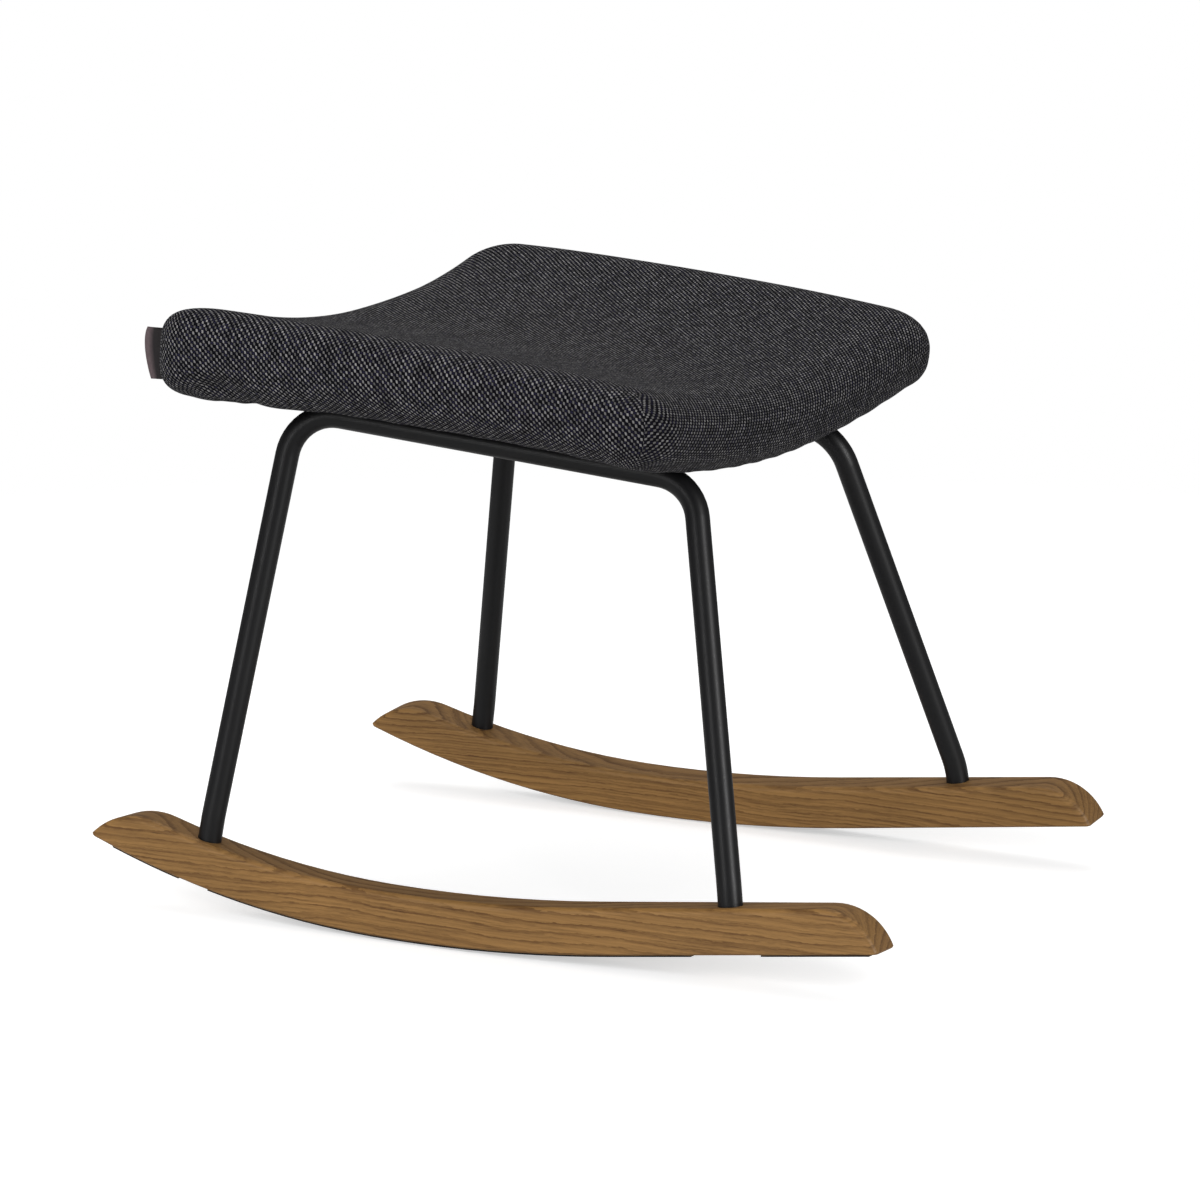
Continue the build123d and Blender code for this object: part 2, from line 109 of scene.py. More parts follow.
def maths(tree, operation, *values, clamp=False):
    node = addNode(tree, "ShaderNodeMath", operation=operation, use_clamp=clamp)
    for socket, value in zip(node.inputs, values):
        feed(tree, socket, value)
    return node.outputs[0]


def vectorMaths(tree, operation, *values):
    node = addNode(tree, "ShaderNodeVectorMath", operation=operation)
    for socket, value in zip(node.inputs, values):
        feed(tree, socket, value)
    return node.outputs["Value"] if operation in ("LENGTH", "DOT_PRODUCT") else node.outputs["Vector"]


noiseSpan = (0.3, 0.7)     # where nearly all of a noise's values lie


def noiseValue(tree, vector, scale, detail=2.0, roughness=0.5):
    node = addNode(tree, "ShaderNodeTexNoise")
    feed(tree, node.inputs["Vector"], vector)
    feed(tree, node.inputs["Scale"], scale)
    feed(tree, node.inputs["Detail"], detail)
    feed(tree, node.inputs["Roughness"], roughness)
    return node.outputs["Fac"]


def mixColours(tree, factor, first, second, blend="MIX"):
    node = addNode(tree, "ShaderNodeMix", data_type="RGBA", blend_type=blend)
    feed(tree, node.inputs[0], factor)
    feed(tree, node.inputs[6], first)
    feed(tree, node.inputs[7], second)
    return node.outputs[2]


def ramp(tree, value, *stops):
    node = addNode(tree, "ShaderNodeValToRGB")
    elements = node.color_ramp.elements
    while len(elements) < len(stops):
        elements.new(0.5)
    for element, (place, colour) in zip(elements, stops):
        element.position = place
        element.color = colour if hasattr(colour, "__len__") else (colour, colour, colour, 1.0)
    feed(tree, node.inputs[0], value)
    return node.outputs["Color"]


def stretch(tree, value, low, high, newLow=0.0, newHigh=1.0):
    node = addNode(tree, "ShaderNodeMapRange")
    for socket, number in zip(node.inputs, (value, low, high, newLow, newHigh)):
        feed(tree, socket, number)
    return node.outputs[0]


def newGroup(name, inputs, outputs):
    tree = bpy.data.node_groups.new(name, "ShaderNodeTree")
    for way, sockets in (("INPUT", inputs), ("OUTPUT", outputs)):
        for label, kind in sockets.items():
            tree.interface.new_socket(name=label, in_out=way, socket_type="NodeSocket" + kind)
    return tree, addNode(tree, "NodeGroupInput").outputs, addNode(tree, "NodeGroupOutput").inputs


def useGroup(tree, name, place, settings):
    # every input but the place bears the name of its setting
    node = addNode(tree, "ShaderNodeGroup", node_tree=bpy.data.node_groups[name])
    for socket in node.inputs:
        feed(tree, socket, place if socket.name == "place" else settings[socket.name])
    return node.outputs


def newMaterial(name, plan):
    material = bpy.data.materials.new(name)
    material.use_nodes = True
    inputs = material.node_tree.nodes["Principled BSDF"].inputs
    for key, label in (("roughness", "Roughness"), ("metallic", "Metallic"),
                       ("specular", "Specular IOR Level")):
        if key in plan:
            inputs[label].default_value = plan[key]
    return material, material.node_tree, inputs


def addBump(tree, shaderInputs, height, strength, distance):
    node = addNode(tree, "ShaderNodeBump")
    feed(tree, node.inputs["Height"], height)
    node.inputs["Strength"].default_value = strength
    node.inputs["Distance"].default_value = distance
    feed(tree, shaderInputs["Normal"], node.outputs["Normal"])


def product(tree, first, *others):
    for other in others:
        first = maths(tree, "MULTIPLY", first, other)
    return first


def scaled(tree, place, scale):
    return vectorMaths(tree, "MULTIPLY", place, scale)


def objectPlace(tree):
    return addNode(tree, "ShaderNodeTexCoord").outputs["Object"]


def uvPlace(tree, name):
    return addNode(tree, "ShaderNodeUVMap", uv_map=name).outputs["UV"]


def dress(piece, material):
    piece.data.materials.clear()
    piece.data.materials.append(material)


def directlySeen(tree):
    path = addNode(tree, "ShaderNodeLightPath").outputs
    return maths(tree, "ADD", path["Is Camera Ray"], path["Is Transmission Ray"], clamp=True), path


def addWorld():
    world = bpy.data.worlds.new("studio")
    scene.world = world
    world.use_nodes = True
    tree = world.node_tree
    seen, path = directlySeen(tree)
    background = tree.nodes["Background"]
    background.inputs["Color"].default_value = (1.0, 1.0, 1.0, 1.0)
    light = stretch(tree, path["Is Glossy Ray"], 0.0, 1.0, worldPlan["ambient"], worldPlan["mirrored"])
    feed(tree, background.inputs["Strength"], stretch(tree, seen, 0.0, 1.0, light, worldPlan["backdrop"]))


def addFloor():
    half = floorPlan["half"]
    mesh = bpy.data.meshes.new("floor")
    drop = -floorPlan["drop"]
    mesh.from_pydata([(-half, -half, drop), (half, -half, drop), (half, half, drop), (-half, half, drop)],
                     [], [(0, 1, 2, 3)])
    floor = bpy.data.objects.new("floor", mesh)
    scene.collection.objects.link(floor)
    material = bpy.data.materials.new("floorWhite")
    material.use_nodes = True
    tree = material.node_tree
    tree.nodes.remove(tree.nodes["Principled BSDF"])
    seen, _ = directlySeen(tree)
    diffuse = addNode(tree, "ShaderNodeBsdfDiffuse")
    albedo = floorPlan["albedo"]
    diffuse.inputs["Color"].default_value = (albedo, albedo, albedo, 1.0)
    glow = addNode(tree, "ShaderNodeEmission")
    feed(tree, glow.inputs["Strength"], maths(tree, "MULTIPLY", seen, floorPlan["glow"]))
    lit = addNode(tree, "ShaderNodeAddShader")
    tree.links.new(diffuse.outputs[0], lit.inputs[0])
    tree.links.new(glow.outputs[0], lit.inputs[1])
    away = stretch(tree, vectorMaths(tree, "LENGTH", objectPlace(tree)),
                   floorPlan["fadeStart"], floorPlan["fadeEnd"])
    under = addNode(tree, "ShaderNodeNewGeometry").outputs["Backfacing"]
    clear = maths(tree, "MAXIMUM", away, under)   # fades out to the backdrop, and is clear from below
    mix = addNode(tree, "ShaderNodeMixShader")
    feed(tree, mix.inputs[0], clear)
    tree.links.new(lit.outputs[0], mix.inputs[1])
    tree.links.new(addNode(tree, "ShaderNodeBsdfTransparent").outputs[0], mix.inputs[2])
    tree.links.new(mix.outputs[0], tree.nodes["Material Output"].inputs["Surface"])
    dress(floor, material)


addCamera()
addLamps()
addWorld()
addFloor()
scene.view_settings.view_transform = "Standard"
print("camera, lamps and floor are set")


# shared effects

weaveShape = {
    "wanderScale": 90.0, "wander": 0.0012,                # how far the yarns stray from straight
    "crown": (2.5, 2.4), "end": (1.85, 3.0), "soften": 0.6, "slant": 0.3,   # a raised yarn's section and ends
    "chance": (1.4, 0.32, 1.0), "weftChance": 2.0, "yarn": (0.8, 1.1),
    "patchScale": 55.0, "patches": (0.3, 0.7, 0.86, 1.06), "fibreScale": 2600.0, "fibreRelief": 0.12,
    # the gap fade gives the heights over which the painted shade in the gaps gives way to the yarns
    "fleck": ((0.25, 0.55), (0.75, 1.35)), "gapShadeFade": (0.12, 0.7),
}


def choose(tree, factor, first, second):
    node = addNode(tree, "ShaderNodeMix", data_type="FLOAT")
    feed(tree, node.inputs[0], factor)
    feed(tree, node.inputs[2], first)
    feed(tree, node.inputs[3], second)
    return node.outputs[0]


def roundedOff(tree, value, width, power):
    # 1 along a yarn's middle, falling to 0 at its edge
    reach = maths(tree, "MULTIPLY", maths(tree, "ABSOLUTE", value), width)
    return maths(tree, "SUBTRACT", 1.0, maths(tree, "POWER", reach, power), clamp=True)


def makeWeaveGroup():
    # thick yarns over and under: pale-flecked warp, dark weft, and painted shade in the low gaps between them
    tree, given, put = newGroup(
        "plainWeave",
        {"place": "Vector", "spacing": "Float", "warpDark": "Color", "warpPale": "Color",
         "weft": "Color", "weftTint": "Color", "gap": "Color"},
        {"colour": "Color", "height": "Float", "fuzz": "Float"})
    plan = weaveShape
    wander = addNode(tree, "ShaderNodeTexNoise")
    feed(tree, wander.inputs["Vector"], given["place"])
    wander.inputs["Scale"].default_value = plan["wanderScale"]
    wander.inputs["Detail"].default_value = 1.0
    drift = vectorMaths(tree, "SUBTRACT", wander.outputs["Color"], (0.5, 0.5, 0.5))
    drift = scaled(tree, drift, (plan["wander"], plan["wander"], 0.0))
    moved = vectorMaths(tree, "ADD", given["place"], drift)
    parts = addNode(tree, "ShaderNodeSeparateXYZ")
    feed(tree, parts.inputs[0], moved)
    across = maths(tree, "DIVIDE", parts.outputs[0], given["spacing"])
    along = maths(tree, "DIVIDE", parts.outputs[1], given["spacing"])
    cellAcross, cellAlong = maths(tree, "FLOOR", across), maths(tree, "FLOOR", along)
    localAcross = maths(tree, "SUBTRACT", maths(tree, "SUBTRACT", across, cellAcross), 0.5)
    localAlong = maths(tree, "SUBTRACT", maths(tree, "SUBTRACT", along, cellAlong), 0.5)
    warpUp = maths(tree, "FLOORED_MODULO", maths(tree, "ADD", cellAcross, cellAlong), 2.0)
    wide = choose(tree, warpUp, localAlong, localAcross)           # across the yarn that is on top
    lengthwise = choose(tree, warpUp, localAcross, localAlong)
    twisted = maths(tree, "MULTIPLY_ADD", lengthwise, plan["slant"], wide)
    crown, end = roundedOff(tree, twisted, *plan["crown"]), roundedOff(tree, lengthwise, *plan["end"])
    height = product(tree, *(maths(tree, "POWER", part, plan["soften"]) for part in (crown, end)))
    cell = addNode(tree, "ShaderNodeCombineXYZ")
    feed(tree, cell.inputs[0], cellAcross)
    feed(tree, cell.inputs[1], cellAlong)
    chance = addNode(tree, "ShaderNodeTexWhiteNoise", noise_dimensions="2D")
    feed(tree, chance.inputs["Vector"], cell.outputs[0])
    yarn = addNode(tree, "ShaderNodeTexWhiteNoise", noise_dimensions="1D")
    feed(tree, yarn.inputs["W"], cellAcross)
    patches = noiseValue(tree, given["place"], plan["patchScale"], 3.0, 0.6)
    fibres = noiseValue(tree, moved, plan["fibreScale"], 2.0, 0.7)
    power, least, most = plan["chance"]
    fleckChance = maths(tree, "POWER", chance.outputs["Value"], power)
    pale = product(tree, stretch(tree, fleckChance, 0.0, 1.0, least, most),
                   stretch(tree, patches, *plan["patches"]),
                   stretch(tree, yarn.outputs["Value"], 0.0, 1.0, *plan["yarn"]))
    warp = mixColours(tree, pale, given["warpDark"], given["warpPale"])
    weft = mixColours(tree, maths(tree, "POWER", chance.outputs["Value"], plan["weftChance"]),
                      given["weft"], given["weftTint"])
    top = mixColours(tree, warpUp, weft, warp)
    # painted shade: where the weave is low, between the raised yarns, it takes the gap colour
    shaded = mixColours(tree, stretch(tree, height, *plan["gapShadeFade"]), given["gap"], top)
    fleck = mixColours(tree, 1.0, shaded, ramp(tree, fibres, *plan["fleck"]), "MULTIPLY")
    feed(tree, put["colour"], fleck)
    relief = maths(tree, "MULTIPLY", fibres, plan["fibreRelief"])
    feed(tree, put["height"], maths(tree, "ADD", height, relief))
    feed(tree, put["fuzz"], fibres)


# each noise: its scale along X, across Y and Z
grainShape = {
    "slow": (6.0, 10.0, 10.0), "slowBy": 5.0, "quick": (30.0, 60.0, 60.0), "quickBy": 1.2,
    "ragged": (150.0, 700.0, 700.0), "raggedBy": 0.4, "faint": (18.0, 45.0, 45.0),
    "fibres": (14.0, 900.0, 900.0), "pores": (70.0, 1500.0, 1500.0), "broad": (7.0, 20.0, 20.0),
    "band": ((0.0, 0.3), (0.05, 0.06), (0.4, 0.12), (0.66, 0.38), (0.84, 0.9), (0.95, 1.0)),
    "bandFade": (0.3, 0.65, 0.45, 1.1), "ringStrength": (0.5, 1.0),
    "between": ((0.0, 0.0), (0.45, 0.1), (0.85, 1.0), (1.0, 0.3)), "betweenEvery": 2.37,
    "betweenFade": (0.35, 0.6, 0.42, 0.05), "bandTone": 0.7, "fibreTone": (0.3, 0.7, -0.12, 0.3),
    "poreCut": (0.6, 0.72), "poreBand": (0.2, 0.8, 0.25, 1.0),
    "poreTone": 0.6, "poreTint": (0.5, 0.45, 0.4, 1.0),
    "broadTone": ((0.3, 0.86), (0.7, 1.12)), "relief": 0.3,
}


def makeGrainGroup():
    # growth rings round a far pith, wavering along X, with pores and fine fibres
    tree, given, put = newGroup(
        "woodGrain",
        {"place": "Vector", "shift": "Vector", "pith": "Vector", "ring": "Float", "waver": "Float",
         "pale": "Color", "dark": "Color"},
        {"colour": "Color", "height": "Float", "band": "Float"})
    plan = grainShape
    place = vectorMaths(tree, "ADD", given["place"], given["shift"])

    def streaks(name, detail, roughness):
        return noiseValue(tree, scaled(tree, place, plan[name]), 1.0, detail, roughness)

    def pushed(distance, streak, size, share):
        return maths(tree, "MULTIPLY_ADD", maths(tree, "SUBTRACT", streak, 0.5),
                     maths(tree, "MULTIPLY", given[size], share), distance)

    radial = scaled(tree, vectorMaths(tree, "SUBTRACT", given["place"], given["pith"]), (0.0, 1.0, 1.0))
    bent = pushed(vectorMaths(tree, "LENGTH", radial), streaks("slow", 1.0, 0.5), "waver", plan["slowBy"])
    bent = pushed(bent, streaks("quick", 3.0, 0.6), "waver", plan["quickBy"])
    bent = pushed(bent, streaks("ragged", 2.0, 0.6), "ring", plan["raggedBy"])
    count = maths(tree, "DIVIDE", bent, given["ring"])
    strength = addNode(tree, "ShaderNodeTexWhiteNoise", noise_dimensions="1D")
    feed(tree, strength.inputs["W"], maths(tree, "FLOOR", count))
    faint = streaks("faint", 2.0, 0.5)
    band = product(tree, ramp(tree, maths(tree, "FRACT", count), *plan["band"]),
                   stretch(tree, strength.outputs["Value"], 0.0, 1.0, *plan["ringStrength"]),
                   stretch(tree, faint, *plan["bandFade"]))
    fibres, pores = streaks("fibres", 3.0, 0.6), streaks("pores", 1.0, 0.5)
    pore = product(tree, stretch(tree, pores, *plan["poreCut"]), stretch(tree, band, *plan["poreBand"]))
    finer = maths(tree, "FRACT", maths(tree, "MULTIPLY", count, plan["betweenEvery"]))
    fineBand = product(tree, ramp(tree, finer, *plan["between"]), stretch(tree, faint, *plan["betweenFade"]))
    tone = maths(tree, "ADD", maths(tree, "MULTIPLY_ADD", band, plan["bandTone"], fineBand),
                 stretch(tree, fibres, *plan["fibreTone"]), clamp=True)
    colour = mixColours(tree, tone, given["pale"], given["dark"])
    broad = ramp(tree, streaks("broad", 2.0, 0.5), *plan["broadTone"])
    colour = mixColours(tree, 1.0, colour, broad, "MULTIPLY")
    poreDark = mixColours(tree, 1.0, given["dark"], plan["poreTint"], "MULTIPLY")
    colour = mixColours(tree, maths(tree, "MULTIPLY", pore, plan["poreTone"]), colour, poreDark)
    feed(tree, put["colour"], colour)
    sunk = maths(tree, "ADD", pore, maths(tree, "MULTIPLY", band, plan["relief"]))
    feed(tree, put["height"], maths(tree, "SUBTRACT", maths(tree, "MULTIPLY", fibres, plan["relief"]), sunk))
    feed(tree, put["band"], band)


makeWeaveGroup()
makeGrainGroup()


# rockers

rockerPlan = {
    "pale": (0.285, 0.152, 0.047, 1.0), "dark": (0.066, 0.025, 0.006, 1.0),
    "roughness": 0.55, "oiled": (0.48, 0.66), "specular": 0.22, "relief": (0.35, 0.0004),
    "near": {"shift": (0.0, 0.0, 0.0), "pith": (0.0, -0.132, -0.090), "ring": 0.0054, "waver": 0.0027},
    "far": {"shift": (3.7, 1.3, 0.4), "pith": (0.0, 0.240, -0.070), "ring": 0.0044, "waver": 0.0027},
}


def dressRockers():
    for side in ("near", "far"):
        material, tree, inputs = newMaterial("rockerWood_" + side, rockerPlan)
        grain = useGroup(tree, "woodGrain", objectPlace(tree), {**rockerPlan, **rockerPlan[side]})
        feed(tree, inputs["Base Color"], grain["colour"])
        feed(tree, inputs["Roughness"], stretch(tree, grain["band"], 0.0, 1.0, *rockerPlan["oiled"]))
        addBump(tree, inputs, grain["height"], *rockerPlan["relief"])
        dress(nodes["rocker_" + side], material)


dressRockers()
print("rockers are dressed")


# tube frames and straps

paintPlan = {
    "roughness": 0.4, "satin": (0.36, 0.5), "specular": 0.22, "pebble": 1500.0, "clouds": 25.0,
    "relief": (0.25, 0.00006), "dark": (0.0042, 0.0042, 0.0048, 1.0), "pale": (0.0075, 0.0075, 0.0082, 1.0),
}


def makePaint():
    material, tree, inputs = newMaterial("blackPaint", paintPlan)
    place = objectPlace(tree)
    pebbles = noiseValue(tree, place, paintPlan["pebble"])
    clouds = noiseValue(tree, place, paintPlan["clouds"], 3.0)
    feed(tree, inputs["Base Color"], mixColours(tree, clouds, paintPlan["dark"], paintPlan["pale"]))
    feed(tree, inputs["Roughness"], stretch(tree, pebbles, *noiseSpan, *paintPlan["satin"]))
    addBump(tree, inputs, pebbles, *paintPlan["relief"])
    return material


blackPaint = makePaint()
for name in ("side_frame_near", "side_frame_far", "seat_strap_left", "seat_strap_right"):
    dress(nodes[name], blackPaint)


# small metal, rubber, plywood and foam

steelPlan = {
    "roughness": 0.34, "metallic": 1.0, "polish": (0.25, 0.45), "stains": 300.0,
    "scratches": (400.0, 3000.0, 400.0), "relief": (0.1, 0.00005),
    "dark": (0.50, 0.50, 0.48), "pale": (0.66, 0.65, 0.60), "plated": 1.0, "blackened": 0.05,
}
rubberPlan = {
    "roughness": 0.85, "matt": (0.75, 0.95), "specular": 0.3, "grit": 1800.0, "dust": 60.0,
    "dustFrom": (0.45, 0.8), "relief": (0.5, 0.0002),
    "clean": (0.010, 0.010, 0.011, 1.0), "dusty": (0.035, 0.033, 0.030, 1.0),
}
plywoodPlan = {
    "roughness": 0.6, "shift": (1.0, 2.0, 3.0), "pith": (0.0, 0.4, 0.9), "ring": 0.012, "waver": 0.012,
    "pale": (0.60, 0.44, 0.27, 1.0), "dark": (0.44, 0.30, 0.17, 1.0), "relief": (0.3, 0.0003),
}
foamPlan = {
    "inset": 1.75, "depth": -0.5, "roughness": 0.95, "specular": 0.2, "cells": 700.0, "span": (0.1, 0.7),
    "pale": (0.78, 0.72, 0.46, 1.0), "deep": (0.50, 0.43, 0.22, 1.0), "relief": (0.5, 0.0006),
}


def makeSteel(name, shade):
    plan = steelPlan
    material, tree, inputs = newMaterial(name, plan)
    place = objectPlace(tree)
    stains = noiseValue(tree, place, plan["stains"], 3.0, 0.6)
    scratches = noiseValue(tree, scaled(tree, place, plan["scratches"]), 1.0, 2.0, 0.6)
    dark, pale = ((*(part * shade for part in plan[key]), 1.0) for key in ("dark", "pale"))
    feed(tree, inputs["Base Color"], mixColours(tree, stains, dark, pale))
    feed(tree, inputs["Roughness"], stretch(tree, scratches, *noiseSpan, *plan["polish"]))
    addBump(tree, inputs, scratches, *plan["relief"])
    return material


def makeStripRubber():
    plan = rubberPlan
    material, tree, inputs = newMaterial("stripRubber", plan)
    place = objectPlace(tree)
    grit = noiseValue(tree, place, plan["grit"], 2.0, 0.6)
    dust = stretch(tree, noiseValue(tree, place, plan["dust"], 4.0, 0.6), *plan["dustFrom"])
    feed(tree, inputs["Base Color"], mixColours(tree, dust, plan["clean"], plan["dusty"]))
    feed(tree, inputs["Roughness"], stretch(tree, grit, *noiseSpan, *plan["matt"]))
    addBump(tree, inputs, grit, *plan["relief"])
    return material


def makePlywood():
    plan = plywoodPlan
    material, tree, inputs = newMaterial("plywood", plan)
    grain = useGroup(tree, "woodGrain", objectPlace(tree), plan)
    feed(tree, inputs["Base Color"], grain["colour"])
    addBump(tree, inputs, grain["height"], *plan["relief"])
    return material


def makeFoamMatter():
    plan = foamPlan
    material, tree, inputs = newMaterial("foamMatter", plan)
    cells = addNode(tree, "ShaderNodeTexVoronoi")
    feed(tree, cells.inputs["Vector"], objectPlace(tree))
    cells.inputs["Scale"].default_value = plan["cells"]
    depth = stretch(tree, cells.outputs["Distance"], *plan["span"])
    feed(tree, inputs["Base Color"], mixColours(tree, depth, plan["pale"], plan["deep"]))
    addBump(tree, inputs, cells.outputs["Distance"], *plan["relief"])
    return material


platedSteel = makeSteel("platedSteel", steelPlan["plated"])
blackSteel = makeSteel("blackSteel", steelPlan["blackened"])
stripRubber, plywood = makeStripRubber(), makePlywood()
for name in ("leg_inserts", "rocker_bolts", "rocker_washers", "seat_bolts", "seat_washers", "t_nuts"):
    dress(nodes[name], platedSteel)
for name in ("cover_staples", "dust_staples"):
    dress(nodes[name], blackSteel)
for name in nodes:
    if name.startswith("glide_strip"):
        dress(nodes[name], stripRubber)
dress(nodes["seat_shell"], plywood)
print("frame metal, strips and plywood are dressed")


# seat: cover, foam and dust cover
# The seat's shape is given in millimetres in its own tilted frame: s to the right, y away, z up.

seatPlan = {
    "centre": (-37.3, 348.3), "tilt": 4.03, "half": (186.7, 235.7), "corner": 39.4, "tightest": 3.5,
    "crown": (28.29, -2.5), "rise": (29.8, -3.93), "risePower": 1.87, "dip": 4.17,
    "rightDrop": 1.94, "rightFrom": 0.35, "roll": (50.1, 47.9), "rollPower": 2.51,
    "underFrom": 24.0, "hemFrom": 34.5, "hemTo": 58.0, "hemCorner": 24.0, "hemCornerEnd": 0.6,
}
meshPlan = {
    "cells": (104, 134), "arcCells": 9, "rim": 20.0, "rows": (30, 8, 7), "pocketRows": 2, "halvings": 22,
    "samples": 60, "crowding": 2.2, "turnSamples": 30, "hemSamples": 12, "leave": 0.38, "arrive": 0.45,
    "straighten": 12.0, "roundest": 0.9, "leastRadius": 0.01,
}
shellPlan = {"origin": (-37.3, 325.808), "along": (0.994677, -0.103045), "radius": 930.0,
             "edge": 19.4, "corner": 34.4, "top": -8.35}
coverPlan = {"hemDepth": 1.25, "thickness": 1.2, "settle": 26.0}
# how the foam differs from the cover
pocketPlan = {"under": 2.2, "early": 2.5, "depth": -0.3, "lip": 4.0}
# shares are of the seat's half length or half width, from its middle
bulgePlan = {
    "leftEnd": (0.55, 1.0), "underFull": 2.0, "topFull": 0.5, "topNear": (0.5, 0.9),
    "leftOut": 2.3, "leftSteep": 0.5,
    "near": ((-134.0, 16.0, 6.0), (-92.0, 20.0, -3.4), (-168.0, 9.0, -1.2)), "nearSide": (0.6, 0.95),
    "farCorner": 4.6, "farSide": (0.7, 1.0), "farEnd": (0.5, 1.0),
    "lump": 0.5, "pitch": 34.0, "strayS": (1.3, 41.0), "strayY": (1.7, 53.0), "shift": (7.0, 3.0),
    "longer": 1.03, "alongEdge": 0.8,
    "fade": (12.0, 19.0), "tuck": (0.4, 1.5), "tuckRight": (0.65, 0.9), "tuckFade": (11.0, 18.0),
}
# the roll is deeper at the ends than at the sides
rollRatio = seatPlan["roll"][0] / seatPlan["roll"][1]


def between(value, limits):
    # 0 up to the first limit, 1 from the second one
    return np.clip((value - limits[0]) / (limits[1] - limits[0]), 0.0, 1.0)


def smooth(share):
    return share * share * (3.0 - 2.0 * share)


def seatMiddle(s, y):
    halfLength, halfWidth = seatPlan["half"]
    ends = seatPlan["rise"][0] + seatPlan["rise"][1] * s / halfLength
    begin = seatPlan["rightFrom"]
    right = np.clip((s / halfLength - begin) / (1.0 - begin), 0.0, None)
    steeper = leftness(s) * np.clip(2.0 * y / halfWidth, 0.0, 1.0)
    power = seatPlan["risePower"] + bulgePlan["leftSteep"] * steeper
    return (ends * np.abs(y / halfWidth) ** power - seatPlan["dip"] * (s / halfLength) ** 2
            - seatPlan["rightDrop"] * right ** 2)


def seatWorld(s, y, z):
    tilt = math.radians(seatPlan["tilt"])
    return np.stack([seatPlan["centre"][0] + s * math.cos(tilt) + z * math.sin(tilt), y,
                     seatPlan["centre"][1] - s * math.sin(tilt) + z * math.cos(tilt)], -1)


def shellWorld(x, y, depth):
    # depth below the plywood's underside, which is part of a cylinder
    z = shellPlan["radius"] - np.sqrt((shellPlan["radius"] + depth) ** 2 - y ** 2)
    along, drop = shellPlan["along"]
    return np.stack([shellPlan["origin"][0] + x * along - z * drop, y,
                     shellPlan["origin"][1] + x * drop + z * along], -1)


def leftness(s):
    # 0 over most of the seat, rising smoothly to 1 at its left end
    return smooth(between(-s / seatPlan["half"][0], bulgePlan["leftEnd"]))


def rimLevel(inward, s, y, sign):
    # the left end is fuller below, and its near corner above
    near = between(-y / seatPlan["half"][1], bulgePlan["topNear"])
    fuller = bulgePlan["underFull"] if sign < 0 else bulgePlan["topFull"] * near
    power = seatPlan["rollPower"] + fuller * leftness(s)
    left = np.clip(1.0 - inward / seatPlan["roll"][1], 0.0, 1.0)
    return (1.0 - left ** power) ** (1.0 / power)


def underLift(s, y):
    # how the underside's edge is drawn up or swells: beside the near leg's shoulder, at the far right
    # corner, and slightly between the staples
    plan, (halfLength, halfWidth) = bulgePlan, seatPlan["half"]
    near = between(-y / halfWidth, plan["nearSide"])
    far = between(y / halfWidth, plan["farSide"]) * between(s / halfLength, plan["farEnd"])
    lift = sum(near * height * np.exp(-((s - middle) / width) ** 2) for middle, width, height in plan["near"])
    wave = 2 * math.pi / plan["pitch"]
    strayS, strayY = (swing * np.sin(along / length) for along, (swing, length) in
                      ((s, plan["strayS"]), (y, plan["strayY"])))
    lumps = (np.sin((s * plan["longer"] + plan["shift"][0]) * wave + strayS)
             * np.sin((y + plan["shift"][1]) * wave + strayY))
    lumps = np.where(np.abs(y) > halfWidth * plan["alongEdge"], np.sin(s * wave + strayS), lumps)
    lumps = np.where(np.abs(s) > halfLength * plan["alongEdge"], np.sin(y * wave + strayY), lumps)
    return lift - far * plan["farCorner"] + lumps * plan["lump"]


def inwardDistance(s, y):
    # how far inside the seat's outline a point lies, by bisection on the shrinking outline
    low, high = np.zeros_like(s), np.full_like(s, seatPlan["roll"][1])
    for _ in range(meshPlan["halvings"]):
        middle = (low + high) / 2
        halfLength = seatPlan["half"][0] - middle * rollRatio
        halfWidth = seatPlan["half"][1] - middle
        radius = np.maximum(seatPlan["corner"] - middle, seatPlan["tightest"])
        outS = np.maximum(np.abs(s) - halfLength + radius, 0.0)
        outY = np.maximum(np.abs(y) - halfWidth + radius, 0.0)
        beyond = np.hypot(outS, outY) - radius
        inside = beyond <= 0
        low, high = np.where(inside, middle, low), np.where(inside, high, middle)
    return low


def outlinePoint(side, place, halfLength, halfWidth, radius):
    # place runs -1 to 1 from corner middle to corner middle: the outer parts are arcs
    arc = meshPlan["arcCells"] / (2.0 * meshPlan["cells"][side % 2])
    share = np.asarray((place + 1.0) / 2.0, float)
    along = (halfLength, halfWidth)[side % 2] - radius
    out = (halfWidth, halfLength)[side % 2] - radius
    first = np.clip(1.0 - share / arc, 0.0, 1.0) * math.pi / 4
    last = np.clip(1.0 - (1.0 - share) / arc, 0.0, 1.0) * math.pi / 4
    straight = np.clip((share - arc) / (1.0 - 2.0 * arc), 0.0, 1.0) * 2.0 - 1.0
    turn = last - first
    u = straight * along + radius * np.sin(turn)
    v = out + radius * np.cos(turn)
    nu, nv = np.sin(turn), np.cos(turn)
    if side == 0:
        return u, -v, nu, -nv
    if side == 1:
        return v, u, nv, nu
    if side == 2:
        return -u, v, -nu, nv
    return -v, -u, -nv, -nu


def outlineAt(halfLength, halfWidth, radius):
    parts = []
    for side in range(4):
        cells = meshPlan["cells"][side % 2]
        places = np.arange(cells) / cells * 2.0 - 1.0
        parts.append(np.array(outlinePoint(side, places, halfLength, halfWidth, radius)))
    return np.concatenate(parts, axis=1)


def outlineInside(inward):
    # the seat's outline, that far in from its edge
    halfLength, halfWidth = seatPlan["half"]
    return outlineAt(halfLength - inward * rollRatio, halfWidth - inward,
                     max(seatPlan["corner"] - inward, seatPlan["tightest"]))


